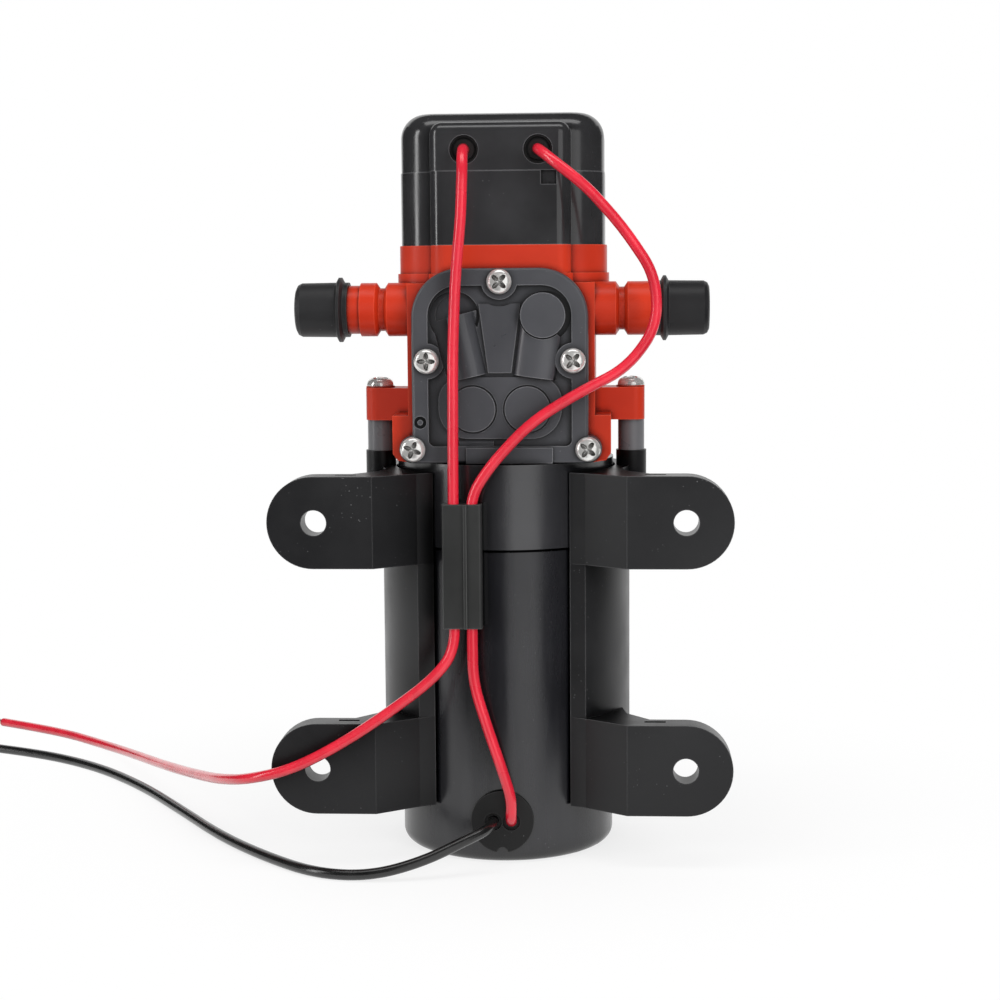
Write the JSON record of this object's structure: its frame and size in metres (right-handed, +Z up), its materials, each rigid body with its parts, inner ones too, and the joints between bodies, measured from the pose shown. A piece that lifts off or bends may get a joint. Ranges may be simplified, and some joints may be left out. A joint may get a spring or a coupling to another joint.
{
  "type": "diaphragm water pump",
  "caption": "Upright 12 V diaphragm water pump with motor cradle, moulded pump head, pressure switch, capped side ports and wire leads.",
  "frame": {"origin": "centre of the base of the object without its loose leads, under the motor shaft", "axes": "+Z up the motor shaft from the closed end to the switch, -Y out of the mounting side, +X towards the outlet"},
  "size_m": [0.215, 0.1499, 0.164],
  "materials": {
    "cradle_plastic": "satin black moulded plastic",
    "motor_shell": "satin charcoal sleeve",
    "can_steel": "drawn steel",
    "bell_plastic": "satin charcoal moulded plastic",
    "bearing_steel": "ground steel",
    "grommet_rubber": "black rubber",
    "ferrite": "sintered ferrite",
    "shaft_steel": "ground steel",
    "core_steel": "stacked laminations",
    "winding_copper": "enamelled copper wire",
    "commutator_copper": "turned copper",
    "board_fibre": "pressed fibre board",
    "brush_carbon": "pressed carbon",
    "weight_steel": "sintered steel",
    "rod_plastic": "glass-filled plastic",
    "pump_rubber": "moulded rubber",
    "washer_plastic": "moulded plastic",
    "screw_steel": "bright plated steel",
    "orange_plastic": "orange-red moulded plastic",
    "valve_plastic": "moulded plastic",
    "cover_plastic": "dark grey moulded plastic",
    "collar_plastic": "dark grey tube",
    "cap_rubber": "black rubber",
    "switch_plastic": "satin black moulded plastic",
    "seal_rubber": "black rubber",
    "plunger_plastic": "moulded plastic",
    "spring_steel": "spring wire",
    "case_plastic": "moulded plastic",
    "button_plastic": "moulded plastic",
    "terminal_brass": "stamped brass",
    "clip_plastic": "soft black plastic",
    "red_insulation": "glossy red insulation",
    "black_insulation": "glossy black insulation",
    "tinned_copper": "tinned strands"
  },
  "bodies": {
    "pump": {"base_cradle": "cradle_plastic", "motor_cover": "motor_shell", "steel_can": "can_steel", "end_bell": "bell_plastic", "rear_bearing": "bearing_steel", "front_bearing": "bearing_steel", "lead_grommet": "grommet_rubber", "field_magnets": "ferrite", "brush_plate": "board_fibre", "carbon_brushes": "brush_carbon", "diaphragm": "pump_rubber", "pump_housing": "orange_plastic", "valve_plate": "valve_plastic", "cover_gasket": "pump_rubber", "manifold_cover": "cover_plastic", "cover_screws": "screw_steel", "long_screws": "screw_steel", "spacer_collars": "collar_plastic", "switch_base": "switch_plastic", "switch_cap": "switch_plastic", "wire_seals": "seal_rubber", "switch_membrane": "pump_rubber", "switch_spring": "spring_steel", "microswitch_case": "case_plastic", "switch_terminals": "terminal_brass", "wire_clip": "clip_plastic", "red_feed_wire": "red_insulation", "red_motor_wire": "red_insulation", "red_lead": "red_insulation", "black_lead": "black_insulation", "red_lead_tip": "tinned_copper", "black_lead_tip": "tinned_copper"},
    "rotor": {"rotor_shaft": "shaft_steel", "armature_core": "core_steel", "armature_windings": "winding_copper", "commutator": "commutator_copper", "eccentric": "weight_steel"},
    "drive_rod": {"drive_bearing": "bearing_steel", "connecting_rod": "rod_plastic", "clamp_washer": "washer_plastic", "drive_screw": "screw_steel"},
    "inlet_flap": {"inlet_valve": "pump_rubber"},
    "outlet_flap": {"outlet_valve": "pump_rubber"},
    "plunger": {"switch_plunger": "plunger_plastic", "microswitch_button": "button_plastic"},
    "inlet_plug": {"inlet_cap": "cap_rubber"},
    "outlet_plug": {"outlet_cap": "cap_rubber"}
  },
  "joints": [
    {"name": "rotor_spin", "type": "hinge", "parent": "pump", "child": "rotor", "pos_m": [0, 0, 0.1], "axis": [0, 0, 1], "continuous": true, "deforming": ["diaphragm"]},
    {"name": "rod_swing", "type": "hinge", "parent": "rotor", "child": "drive_rod", "pos_m": [0, -0.0012, 0.1035], "axis": [0, 0, 1], "continuous": true},
    {"name": "inlet_flap_lift", "type": "slide", "parent": "pump", "child": "inlet_flap", "axis": [0, 1, 0], "range_m": [0, 0.0004], "stiffness_N_per_m": 50, "springref_m": -0.0002},
    {"name": "outlet_flap_lift", "type": "slide", "parent": "pump", "child": "outlet_flap", "axis": [0, -1, 0], "range_m": [0, 0.0004], "stiffness_N_per_m": 50, "springref_m": -0.0002},
    {"name": "plunger_lift", "type": "slide", "parent": "pump", "child": "plunger", "axis": [0, 0, 1], "range_m": [0, 0.0008], "stiffness_N_per_m": 600, "springref_m": -0.002, "deforming": ["switch_spring"]},
    {"name": "inlet_cap_pull", "type": "slide", "parent": "pump", "child": "inlet_plug", "axis": [-1, 0, 0], "range_m": [0, 0.014]},
    {"name": "outlet_cap_pull", "type": "slide", "parent": "pump", "child": "outlet_plug", "axis": [1, 0, 0], "range_m": [0, 0.014]}
  ],
  "couplings": [
    {"joint": "rod_swing", "follows": "rotor_spin", "ratio": -1}
  ]
}
